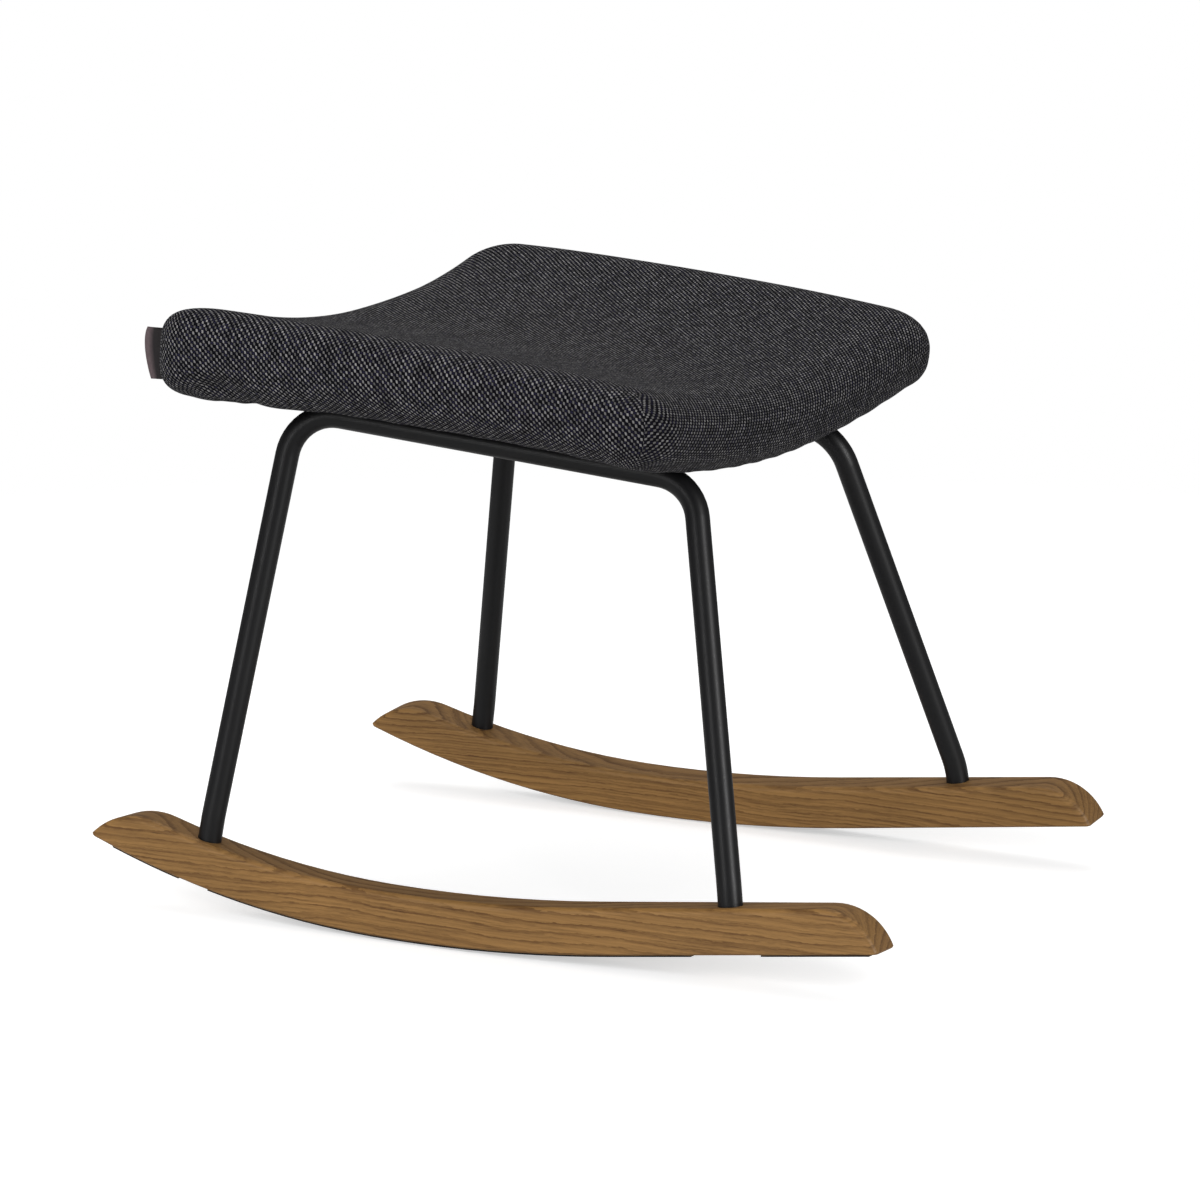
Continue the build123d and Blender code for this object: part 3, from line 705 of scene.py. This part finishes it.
def innerGrid(halfLength, halfWidth, radius):
    # a grid whose edge is the rounded outline, straightening out ring by ring
    cellsS, cellsY = meshPlan["cells"]
    table = np.zeros((cellsS + 1, cellsY + 1, 2))
    for i in range(cellsS + 1):
        for j in range(cellsY + 1):
            ring = min(i, cellsS - i, j, cellsY - j)
            shrink = ring / (cellsS / 2.0)
            ringS, ringY = cellsS - 2 * ring, cellsY - 2 * ring
            if ringS <= 0:
                table[i, j] = (0.0, (j - cellsY / 2.0) / (cellsY / 2.0) * halfWidth)
                continue
            keep = max(1.0 - ring / meshPlan["straighten"], 0.0) ** 2
            reachS = halfLength * (1.0 - shrink)
            reachY = halfWidth * (1.0 - shrink * (cellsS / cellsY))
            tight = max(min(radius * keep, reachS * meshPlan["roundest"]), meshPlan["leastRadius"])
            shareS, shareY = (i - ring) / ringS * 2 - 1, (j - ring) / ringY * 2 - 1
            if j == ring or j == cellsY - ring:
                side, place = (0, shareS) if j == ring else (2, -shareS)
            else:
                side, place = (3, -shareY) if i == ring else (1, shareY)
            curved = outlinePoint(side, place, reachS, reachY, tight)
            plain = {0: (place * reachS, -reachY), 1: (reachS, place * reachY),
                     2: (-place * reachS, reachY), 3: (-reachS, -place * reachY)}[side]
            table[i, j] = [keep * a + (1.0 - keep) * b for a, b in zip(curved[:2], plain)]
    return table


def resample(lines, rows):
    # each column's points, spread evenly along its own length; gives points and distances
    steps = np.linalg.norm(np.diff(lines, axis=0), axis=2)
    lengths = np.concatenate([np.zeros((1, lines.shape[1])), np.cumsum(steps, axis=0)])
    points, distances = np.zeros((rows + 1, lines.shape[1], 3)), np.zeros((rows + 1, lines.shape[1]))
    for column in range(lines.shape[1]):
        wanted = np.linspace(0.0, lengths[-1, column], rows + 1)
        distances[:, column] = wanted
        for axis in range(3):
            points[:, column, axis] = np.interp(wanted, lengths[:, column], lines[:, column, axis])
    return points, distances


def padSkin(s, y, inward, sign, inset):
    # a point of the roll over the rim (sign 1) or of the turn under (sign -1)
    halfLength = seatPlan["half"][0]
    under = sign < 0
    # the foam stays further inside below than above
    deeper = inset * pocketPlan["under"] if under else inset
    crown = seatPlan["crown"][0] + seatPlan["crown"][1] * s / halfLength - deeper
    level = rimLevel(inward, s, y, sign)
    lift = 0.0
    if under:
        # drawn up at the rim only: further in, the cloth lies against the plywood
        settled = between(inward, bulgePlan["fade"])
        tuck = bulgePlan["tuck"][0] + bulgePlan["tuck"][1] * between(s / halfLength, bulgePlan["tuckRight"])
        lift = underLift(s, y) * level
        lift = np.where(lift > 0, lift * (1.0 - settled), lift)
        lift -= tuck * between(inward, bulgePlan["tuckFade"])
    height = seatMiddle(s, y) + sign * crown * level + lift
    return seatWorld(s - bulgePlan["leftOut"] * leftness(s), y, height)


def turnUnder(lines, last, ahead):
    # a smooth curve from the turned-under skin to the plywood's underside
    first, leave = lines[-1], lines[-1] - lines[-3]
    leave /= np.linalg.norm(leave, axis=1)[:, None]
    gap = np.linalg.norm(last - first, axis=1)[:, None]
    out, back = first + leave * gap * meshPlan["leave"], last - ahead * gap * meshPlan["arrive"]
    return np.array([(1 - t) ** 3 * first + 3 * (1 - t) ** 2 * t * out
                     + 3 * (1 - t) * t ** 2 * back + t ** 3 * last
                     for t in np.linspace(0.0, 1.0, meshPlan["turnSamples"])])


def padSurface(inset, hemDepth, closed):
    # the padding's skin: roll over the rim, turn under, and hem (or the plywood's pocket)
    halfLength, halfWidth = seatPlan["half"]
    shrink = 1.0 - inset / halfLength, 1.0 - inset / halfWidth
    early = pocketPlan["early"] if closed else 0.0     # the foam turns up a little before the cover does
    places = np.linspace(0.0, 1.0, meshPlan["samples"])
    lines = []
    for sign, shares, width in ((1.0, places[::-1], meshPlan["rim"]),
                                (-1.0, places[1:], seatPlan["underFrom"] - early)):
        for share in shares:
            inward = width * share ** meshPlan["crowding"]
            s, y = outlineInside(inward)[:2]
            lines.append(padSkin(s * shrink[0], y * shrink[1], inward, sign, inset))
    lines = np.array(lines)
    hemFrom, hemTo, corner = seatPlan["hemFrom"] - early, seatPlan["hemTo"], seatPlan["hemCorner"]
    hemStart = outlineAt(halfLength - hemFrom, halfWidth - hemFrom, corner + early)
    hemEnd = outlineAt(halfLength - hemTo, halfWidth - hemTo, corner * seatPlan["hemCornerEnd"])
    last = shellWorld(hemStart[0], hemStart[1], hemDepth)
    ahead = shellWorld(hemEnd[0], hemEnd[1], hemDepth) - last
    ahead /= np.linalg.norm(ahead, axis=1)[:, None]
    skinRows, turnRows, hemRows = meshPlan["rows"]
    pieces = [resample(lines, skinRows), resample(turnUnder(lines, last, ahead), turnRows)]
    if closed:
        edge, inner = (outlineAt(halfLength - shellPlan["edge"] - lip, halfWidth - shellPlan["edge"] - lip,
                                 shellPlan["corner"] - lip) for lip in (0.0, pocketPlan["lip"]))
        pocket = [shellWorld(line[0], line[1], depth) for line, depth in
                  ((hemStart, pocketPlan["depth"]), (edge, pocketPlan["depth"]),
                   (edge, shellPlan["top"]), (inner, shellPlan["top"]))]
        for pair in zip(pocket, pocket[1:]):
            pieces.append(resample(np.array(pair), meshPlan["pocketRows"]))
    else:
        hem = [shellWorld(*(hemStart[:2] * (1 - t) + hemEnd[:2] * t), hemDepth)
               for t in np.linspace(0.0, 1.0, meshPlan["hemSamples"])]
        pieces.append(resample(np.array(hem), hemRows))
    points, reach = [pieces[0][0]], [pieces[0][1]]
    for more, distance in pieces[1:]:
        points.append(more[1:])
        reach.append(distance[1:] + reach[-1][-1])
    return np.concatenate(points), np.concatenate(reach)


def topGrid(inset):
    halfLength, halfWidth = seatPlan["half"]
    rim = meshPlan["rim"]
    table = innerGrid(halfLength - rim * rollRatio, halfWidth - rim, seatPlan["corner"] - rim)
    s, y = table[..., 0], table[..., 1]
    crown = seatPlan["crown"][0] + seatPlan["crown"][1] * s / halfLength - inset
    level = rimLevel(inwardDistance(s, y), s, y, 1.0)
    s, y = s * (1.0 - inset / halfLength), y * (1.0 - inset / halfWidth)
    return seatWorld(s - bulgePlan["leftOut"] * leftness(s), y, seatMiddle(s, y) + crown * level), table


def pocketGrid():
    margin = shellPlan["edge"] + pocketPlan["lip"]
    table = innerGrid(seatPlan["half"][0] - margin, seatPlan["half"][1] - margin,
                      shellPlan["corner"] - pocketPlan["lip"])
    return shellWorld(table[..., 0], table[..., 1], shellPlan["top"])


def edgeLoop():
    # the grid's edge vertices in the same order as the outline's columns
    cellsS, cellsY = meshPlan["cells"]
    return ([(i, 0) for i in range(cellsS)] + [(cellsS, j) for j in range(cellsY)]
            + [(i, cellsY) for i in range(cellsS, 0, -1)] + [(0, j) for j in range(cellsY, 0, -1)])


def weavePlaces(edge, reach):
    # where the cloth's weave lies on each side: straight down it, and round each corner to its middle
    half, cells, rim = seatPlan["half"], meshPlan["cells"], meshPlan["rim"]
    reachOut = (half[0] - rim * rollRatio, half[1] - rim)
    sides, start = [], 0
    for side, sign in ((0, -1.0), (1, 1.0), (2, 1.0), (3, -1.0)):
        along, out = side % 2, 1 - side % 2
        columns = np.arange(start, start + cells[along] + 1) % edge.shape[1]
        start += cells[along]
        places = []
        for away in reach[:, columns]:
            settled = smooth(np.clip(away / coverPlan["settle"], 0.0, 1.0))
            turn = edge[2 + along, columns]
            shift = (seatPlan["corner"] * np.arcsin(np.clip(turn, -1.0, 1.0))
                     - (seatPlan["corner"] - rim) * turn)
            place = np.zeros((len(columns), 2))
            place[:, along] = edge[along, columns] + shift * settled
            place[:, out] = sign * (sign * edge[out, columns] * (1.0 - settled)
                                    + reachOut[out] * settled + away)
            places.append(place)
        sides.append(places)
    return sides


def newPiece(name, verts, faces, layerName=None, flat=()):
    # a smooth-shaded mesh from places in millimetres; flat has the layer's place for each face corner
    mesh = bpy.data.meshes.new(name)
    mesh.from_pydata([tuple(c * millimetre for c in v) for v in verts], [], faces)
    if layerName:
        mesh.uv_layers.new(name=layerName).data.foreach_set("uv", (np.array(flat) * millimetre).ravel())
    mesh.polygons.foreach_set("use_smooth", [True] * len(mesh.polygons))
    piece = bpy.data.objects.new(name, mesh)
    scene.collection.objects.link(piece)
    return piece


def padMesh(name, inset, hemDepth, closed):
    cellsS, cellsY = meshPlan["cells"]
    skirt, reach = padSurface(inset, hemDepth, closed)
    top, plan = topGrid(inset)
    loop = edgeLoop()
    columns = len(loop)
    grid = [(i, j) for i in range(cellsS + 1) for j in range(cellsY + 1)]
    number = {place: k for k, place in enumerate(grid)}
    verts = [tuple(top[place]) for place in grid]
    faces = [(number[i, j], number[i + 1, j], number[i + 1, j + 1], number[i, j + 1])
             for i in range(cellsS) for j in range(cellsY)]
    flat = [tuple(plan[grid[corner]]) for face in faces for corner in face]
    edge = outlineInside(meshPlan["rim"])
    rows = [[number[place] for place in loop]]
    for row in skirt[1:]:
        rows.append(list(range(len(verts), len(verts) + columns)))
        verts += [tuple(point) for point in row]
    for row, (upper, lower) in enumerate(zip(rows, rows[1:])):
        k = 0
        for places in weavePlaces(edge, reach[row:row + 2]):
            for c in range(len(places[0]) - 1):
                following = (k + 1) % columns
                faces.append((upper[k], lower[k], lower[following], upper[following]))
                flat += [places[0][c], places[1][c], places[1][c + 1], places[0][c + 1]]
                k += 1
    if closed:
        start = len(verts)
        bottom = pocketGrid()
        verts += [tuple(bottom[place]) for place in grid]
        swap = {start + number[place]: rows[-1][k] for k, place in enumerate(loop)}
        for i in range(cellsS):
            for j in range(cellsY):
                corners = [start + number[p] for p in ((i, j), (i, j + 1), (i + 1, j + 1), (i + 1, j))]
                faces.append(tuple(swap.get(corner, corner) for corner in corners))
                flat += [(0.0, 0.0)] * 4
    piece = newPiece(name, verts, faces, "weave", flat)
    if closed:
        cleanLoose(piece)
    return piece


def cleanLoose(piece):
    work = bmesh.new()
    work.from_mesh(piece.data)
    bmesh.ops.delete(work, geom=[v for v in work.verts if not v.link_faces], context="VERTS")
    work.to_mesh(piece.data)
    work.free()


def thicken(piece, thickness, offset):
    # thickness in millimetres; offset 1 adds it outside, -1 inside, 0 on both sides
    modifier = piece.modifiers.new("solidify", "SOLIDIFY")
    modifier.thickness, modifier.offset = thickness * millimetre, offset
    depsgraph = bpy.context.evaluated_depsgraph_get()
    mesh = bpy.data.meshes.new_from_object(piece.evaluated_get(depsgraph), depsgraph=depsgraph)
    piece.modifiers.clear()
    piece.data = mesh


cover = padMesh("seatCover", 0.0, coverPlan["hemDepth"], False)
foam = padMesh("seatFoam", foamPlan["inset"], foamPlan["depth"], True)
thicken(cover, coverPlan["thickness"], -1.0)
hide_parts("seat_cover")
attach(cover, "root")
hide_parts("seat_foam")
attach(foam, "root")
dress(foam, makeFoamMatter())


weavePlan = {
    "spacing": 0.00203, "roughness": 0.88, "fuzzy": (0.8, 0.98), "specular": 0.05, "relief": (0.9, 0.0007),
    "warpDark": (0.011, 0.011, 0.011, 1.0), "warpPale": (0.265, 0.258, 0.258, 1.0),
    "weft": (0.0028, 0.0028, 0.0055, 1.0), "weftTint": (0.015, 0.014, 0.034, 1.0),
    # gap: the colour of the painted shade between the yarns
    "gap": (0.0010, 0.0010, 0.0018, 1.0),
}


def makeCoverCloth():
    plan = weavePlan
    material, tree, inputs = newMaterial("wovenCover", plan)
    weave = useGroup(tree, "plainWeave", uvPlace(tree, "weave"), plan)
    feed(tree, inputs["Base Color"], weave["colour"])
    feed(tree, inputs["Roughness"], stretch(tree, weave["fuzz"], *noiseSpan, *plan["fuzzy"]))
    addBump(tree, inputs, weave["height"], *plan["relief"])
    return material


dress(cover, makeCoverCloth())
print("seat cover and foam are made")


dustPlan = {
    "margin": 44.0, "corner": 24.0, "depth": 1.3, "thickness": 0.6, "cells": (60, 80),
    "sag": 1.6, "edge": (4, 5), "uneven": (0.7, 0.3, 30),
    "straps": (-68.0, 87.5), "strapHalf": 15.0, "strapFade": 40.0,
    "roughness": 0.9, "specular": 0.2, "points": 620.0, "stray": 0.15, "threads": 900.0,
    "relief": (0.5, 0.00025), "dark": (0.006, 0.006, 0.007, 1.0), "pale": (0.028, 0.028, 0.030, 1.0),
}


def dustSag(s, y, u, v):
    # it hangs a little between the straps and its own edges; u and v are s and y as shares
    plan = dustPlan
    clear = min((abs(s - strap) - plan["strapHalf"]) / plan["strapFade"] for strap in plan["straps"])
    edge = max(min(1.0, (1 - abs(u)) * plan["edge"][0], (1 - abs(v)) * plan["edge"][1]), 0.0)
    least, swing, size = plan["uneven"]
    uneven = least + swing * noise.noise((s / size, y / size, 0))
    return max(plan["sag"] * min(max(clear, 0.0), 1.0) * edge * (3 - 2 * edge) * uneven, 0.0)


def makeDustCover():
    halfLength, halfWidth = (half - dustPlan["margin"] for half in seatPlan["half"])
    cellsS, cellsY = dustPlan["cells"]
    radius = dustPlan["corner"]
    verts, faces = [], []
    for i in range(cellsS + 1):
        for j in range(cellsY + 1):
            u, v = i / cellsS * 2 - 1, j / cellsY * 2 - 1
            s, y = u * halfLength, v * halfWidth
            overS, overY = abs(s) - halfLength + radius, abs(y) - halfWidth + radius
            if overS > 0 and overY > 0:
                # pull the corner squares in to the rounded corner
                pull = max(overS, overY) / math.hypot(overS, overY)
                s = math.copysign(halfLength - radius + overS * pull, s)
                y = math.copysign(halfWidth - radius + overY * pull, y)
            verts.append(shellWorld(np.array(s), np.array(y), dustPlan["depth"] + dustSag(s, y, u, v)))
    for i in range(cellsS):
        for j in range(cellsY):
            a = i * (cellsY + 1) + j
            faces.append((a, a + 1, a + cellsY + 2, a + cellsY + 1))
    piece = newPiece("dustCover", verts, faces)
    thicken(piece, dustPlan["thickness"], 1.0)
    return piece


def makeDustCloth():
    # spun-bonded black cloth with a fine pressed pattern of points
    plan = dustPlan
    material, tree, inputs = newMaterial("dustCloth", plan)
    place = objectPlace(tree)
    points = addNode(tree, "ShaderNodeTexVoronoi")
    feed(tree, points.inputs["Vector"], place)
    points.inputs["Scale"].default_value = plan["points"]
    points.inputs["Randomness"].default_value = plan["stray"]
    threads = noiseValue(tree, place, plan["threads"], 3.0, 0.7)
    feed(tree, inputs["Base Color"], mixColours(tree, threads, plan["dark"], plan["pale"]))
    addBump(tree, inputs, maths(tree, "ADD", points.outputs["Distance"], threads), *plan["relief"])
    return material


dustCover = makeDustCover()
dress(dustCover, makeDustCloth())
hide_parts("dust_cover")
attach(dustCover, "root")
print("dust cover is made")


# label tab: a bare ribbon folded once and sewn in at the seat's left end

tabPlan = {
    "ply": 0.7, "opening": 0.9, "tip": 0.3, "reach": 16.0, "pinch": 0.6, "face": (0.15, 0.85, 7), "fold": 9,
    "rows": 22, "flare": 0.8, "wave": (0.2, 7.0), "foot": (5.0, 3.4), "head": (1.8, 9.0),
    "roughness": 0.62, "specular": 0.35, "ribs": 0.0006, "threads": 0.0005, "wear": 400.0,
    "dark": (0.075, 0.052, 0.056, 1.0), "pale": (0.125, 0.090, 0.097, 1.0),
    # the deep colour is painted shade, laid over the given span towards the ribbon's ends, where it goes into
    # the seat
    "paintedSeatShade": (0.0035, 0.0075), "deep": (0.012, 0.009, 0.010, 1.0), "relief": (0.35, 0.00015),
}


def tabLine(tip, reach, middle):
    # the ribbon's centre line seen from above: out along one face, round the fold, back along the other
    plan = tabPlan
    half, pinch = (plan["opening"] + plan["ply"]) / 2, plan["pinch"]
    face = [(tip + reach * (1 - share), half * (pinch + (1 - pinch) * share))
            for share in (0.0, *np.linspace(*plan["face"]))]
    fold = [(tip + half - half * math.cos(turn), middle + half * math.sin(turn))
            for turn in np.linspace(-math.pi / 2, math.pi / 2, plan["fold"])]
    return [(x, middle - y) for x, y in face] + fold + [(x, middle + y) for x, y in reversed(face)]


def makeTab():
    plan, box = tabPlan, np.array(nodes["label_tab"].bound_box) / millimetre
    low, high = box.min(axis=0).tolist(), box.max(axis=0).tolist()
    tip, reach = low[0] + plan["tip"], min(high[0] - low[0], plan["reach"])
    line = tabLine(tip, reach, (low[1] + high[1]) / 2)
    travel = [0.0, *np.cumsum(np.linalg.norm(np.diff(np.array(line), axis=0), axis=1))]
    height, rows, columns = high[2] - low[2], plan["rows"], len(line)
    (foot, footPower), (head, headPower) = plan["foot"], plan["head"]
    verts, places = [], []
    for row in range(rows + 1):
        t = row / rows
        z = low[2] + height * t
        pushed = foot * (1 - t) ** footPower + head * t ** headPower
        flare, wave = plan["flare"] * (2 * t - 1) ** 3, plan["wave"][0] * math.sin(t * plan["wave"][1])
        for (x, y), distance in zip(line, travel):
            out = (tip + reach - x) / reach
            verts.append((x + pushed * out, y + flare * out ** 2 + wave * out, z))
            places.append((distance, z))
    faces = [(a, a + columns, a + columns + 1, a + 1)
             for row in range(rows) for a in range(row * columns, (row + 1) * columns - 1)]
    flat = [places[corner] for face in faces for corner in face]
    piece = newPiece("labelTab", verts, faces, "ribbon", flat)
    thicken(piece, plan["ply"], 0.0)
    return piece, travel[-1], height


def makeRibbon(length):
    plan = tabPlan
    material, tree, inputs = newMaterial("tabRibbon", plan)
    parts = addNode(tree, "ShaderNodeSeparateXYZ")
    feed(tree, parts.inputs[0], uvPlace(tree, "ribbon"))
    ribs, threads = (maths(tree, "SINE", maths(tree, "MULTIPLY", along, 2 * math.pi / plan[key]))
                     for along, key in ((parts.outputs[1], "ribs"), (parts.outputs[0], "threads")))
    wear = noiseValue(tree, objectPlace(tree), plan["wear"], 3.0, 0.6)
    ribbon = mixColours(tree, wear, plan["dark"], plan["pale"])
    fold = maths(tree, "ABSOLUTE", maths(tree, "SUBTRACT", parts.outputs[0], length * millimetre / 2))
    # painted shade: the ribbon is darker towards its ends, where it goes into the seat
    paintedSeatShade = stretch(tree, fold, *plan["paintedSeatShade"])     # darker where it comes out of the seat
    feed(tree, inputs["Base Color"], mixColours(tree, paintedSeatShade, ribbon, plan["deep"]))
    addBump(tree, inputs, maths(tree, "MULTIPLY", ribs, threads), *plan["relief"])
    return material


labelTab, tabLength, tabHeight = makeTab()
dress(labelTab, makeRibbon(tabLength))
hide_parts("label_tab")
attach(labelTab, "root")
print("label tab is made")
